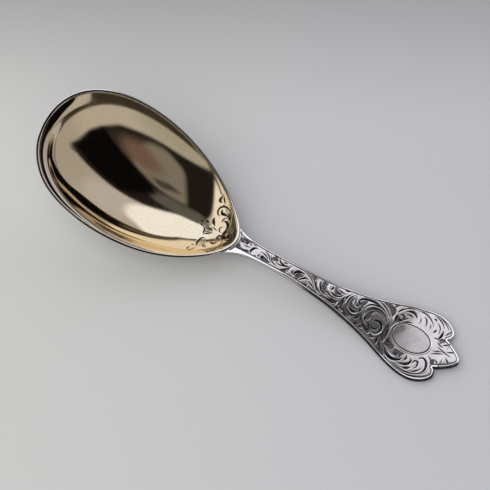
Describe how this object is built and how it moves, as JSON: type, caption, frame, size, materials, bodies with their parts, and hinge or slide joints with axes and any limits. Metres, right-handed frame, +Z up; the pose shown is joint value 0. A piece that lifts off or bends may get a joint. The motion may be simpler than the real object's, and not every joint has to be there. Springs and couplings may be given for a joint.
{
  "type": "caddy spoon",
  "caption": "Short spoon with a deep egg-shaped gilt bowl and an engraved silver handle that widens into a lobed end round a plain oval cartouche.",
  "frame": {"origin": "on the table under the middle of the spoon's length, midway between its sides", "axes": "+X along the spoon from the bowl to the handle's end, +Z up from the table that the spoon lies on"},
  "size_m": [0.115, 0.0366, 0.023],
  "materials": {
    "silver_bowl": "polished silver, bright at the lip, lightly scratched",
    "gold_wash": "thin worn gold wash, polished, with fine scratches",
    "silver_handle": "polished silver with dark oxide in the engraving",
    "silver_solder": "silver solder, filed flush"
  },
  "bodies": {
    "root": {"bowl": "silver_bowl", "bowl_gilding": "gold_wash", "handle": "silver_handle", "solder_seam": "silver_solder"}
  },
  "joints": []
}
